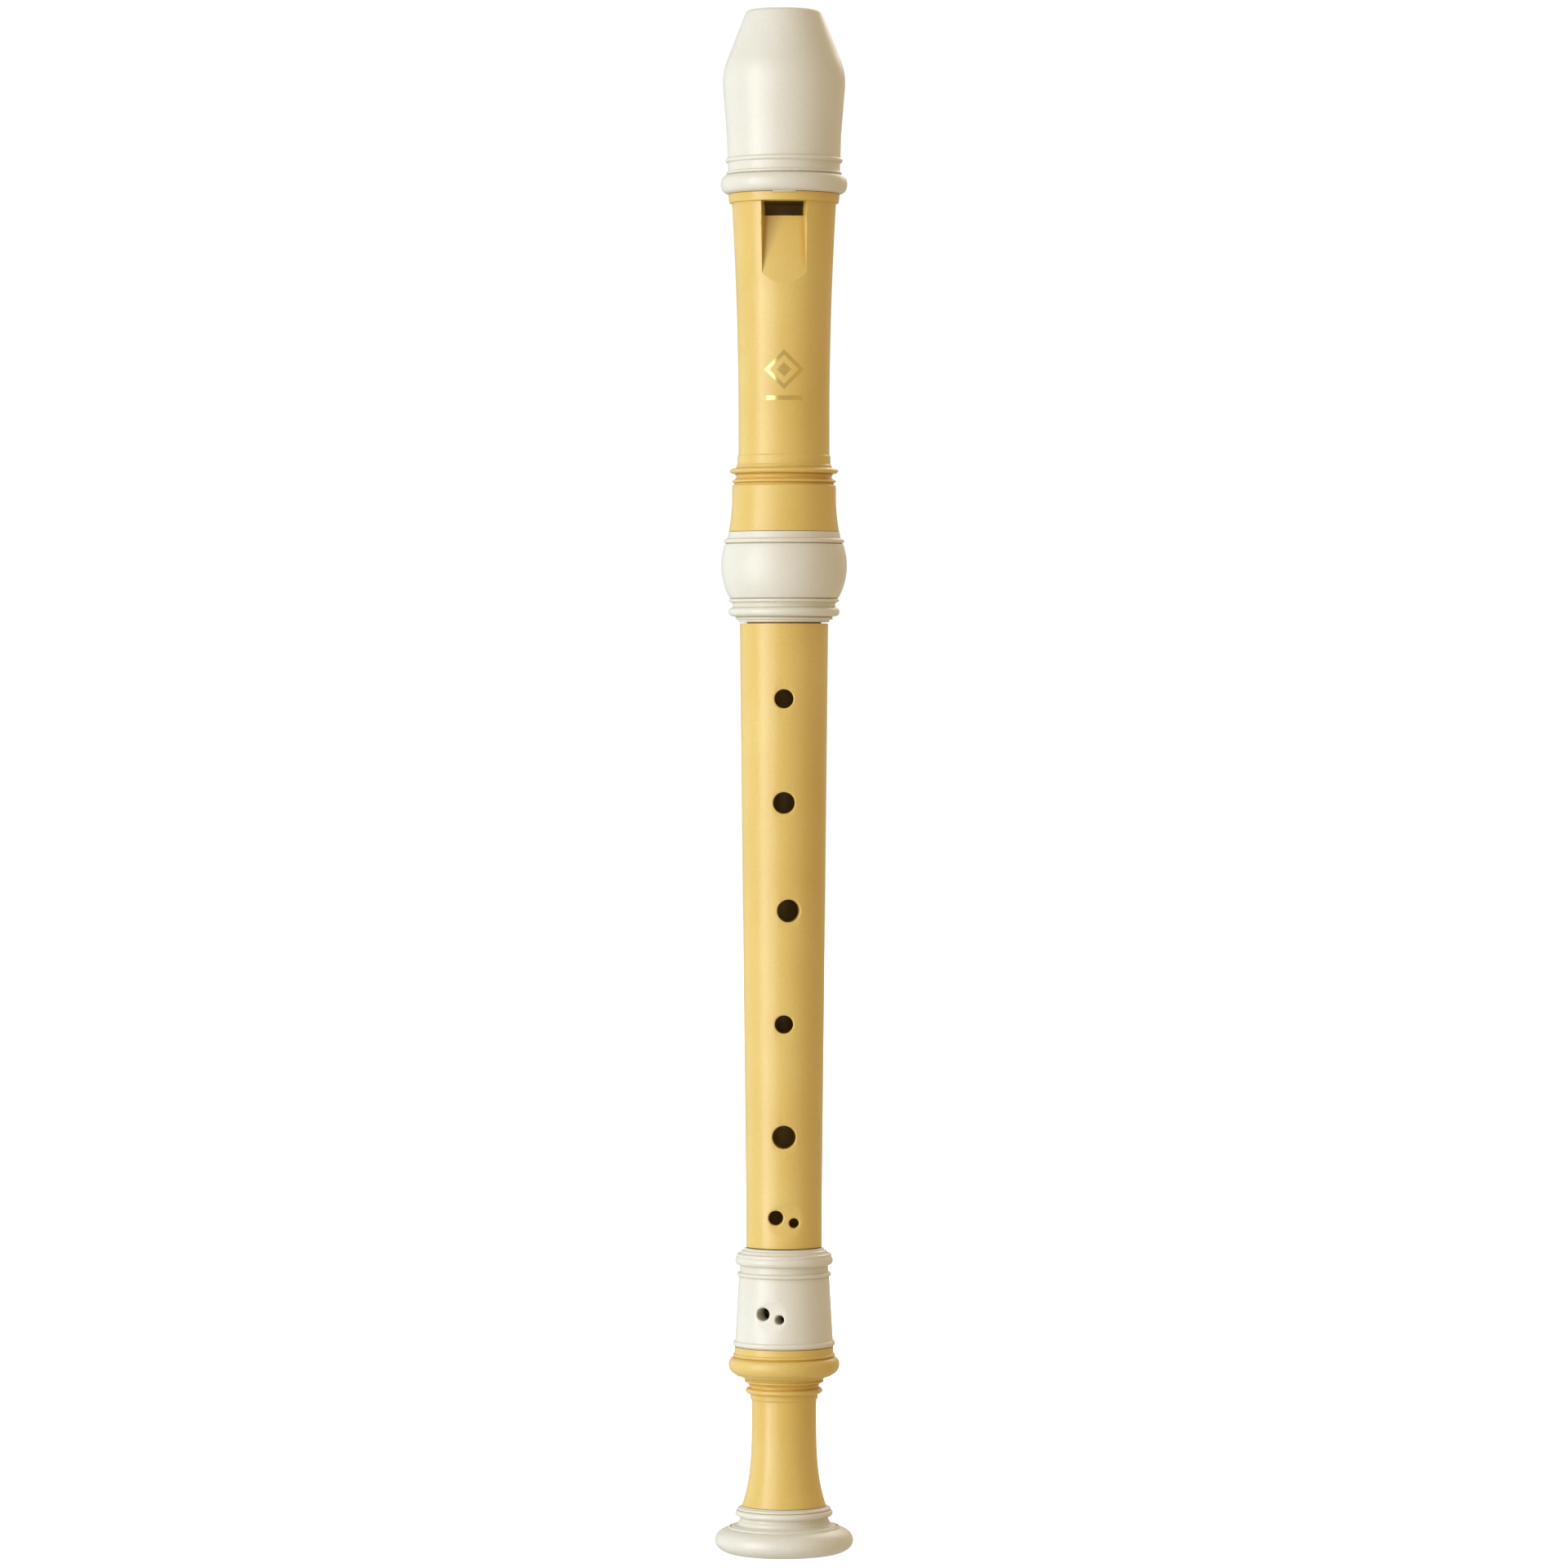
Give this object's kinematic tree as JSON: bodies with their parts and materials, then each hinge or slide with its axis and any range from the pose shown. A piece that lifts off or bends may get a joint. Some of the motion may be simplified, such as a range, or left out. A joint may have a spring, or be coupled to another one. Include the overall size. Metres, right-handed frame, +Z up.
{
  "type": "soprano recorder",
  "caption": "Upright duct flute in two-colour plastic: a beaked head with a window and ramp, a tapered finger-hole tube and a flared foot, joined by plain tenons that slide and turn.",
  "frame": {"origin": "middle of the bell's flat end, on the axis of the bore", "axes": "+Z up along the bore, towards the beak; -Y is the front, with the window and the finger holes; +X is to the right seen from the front"},
  "size_m": [0.0296, 0.0296, 0.33],
  "materials": {
    "beak_cap": "satin ivory plastic",
    "windway_block": "satin ivory plastic",
    "head_body": "satin honey yellow plastic",
    "head_socket_ring": "satin ivory plastic",
    "middle_body": "satin honey yellow plastic",
    "foot_socket": "satin ivory plastic",
    "foot_body": "satin honey yellow plastic",
    "foot_bell_ring": "satin ivory plastic"
  },
  "bodies": {
    "middle": {"middle_body": "middle_body"},
    "head_ring": {"head_socket_ring": "head_socket_ring"},
    "head": {"head_body": "head_body", "beak_cap": "beak_cap", "windway_block": "windway_block"},
    "foot_bell": {"foot_bell_ring": "foot_bell_ring"},
    "foot": {"foot_socket": "foot_socket", "foot_body": "foot_body"}
  },
  "joints": [
    {"name": "head_slide", "type": "slide", "parent": "middle", "child": "head_ring", "axis": [0, 0, 1], "range_m": [0, 0.0214]},
    {"name": "head_turn", "type": "hinge", "parent": "head_ring", "child": "head", "pos_m": [0, 0, 0.21], "axis": [0, 0, 1], "continuous": true},
    {"name": "foot_slide", "type": "slide", "parent": "middle", "child": "foot_bell", "axis": [0, 0, -1], "range_m": [0, 0.0114]},
    {"name": "foot_turn", "type": "hinge", "parent": "foot_bell", "child": "foot", "pos_m": [0, 0, 0.055], "axis": [0, 0, 1], "continuous": true}
  ]
}
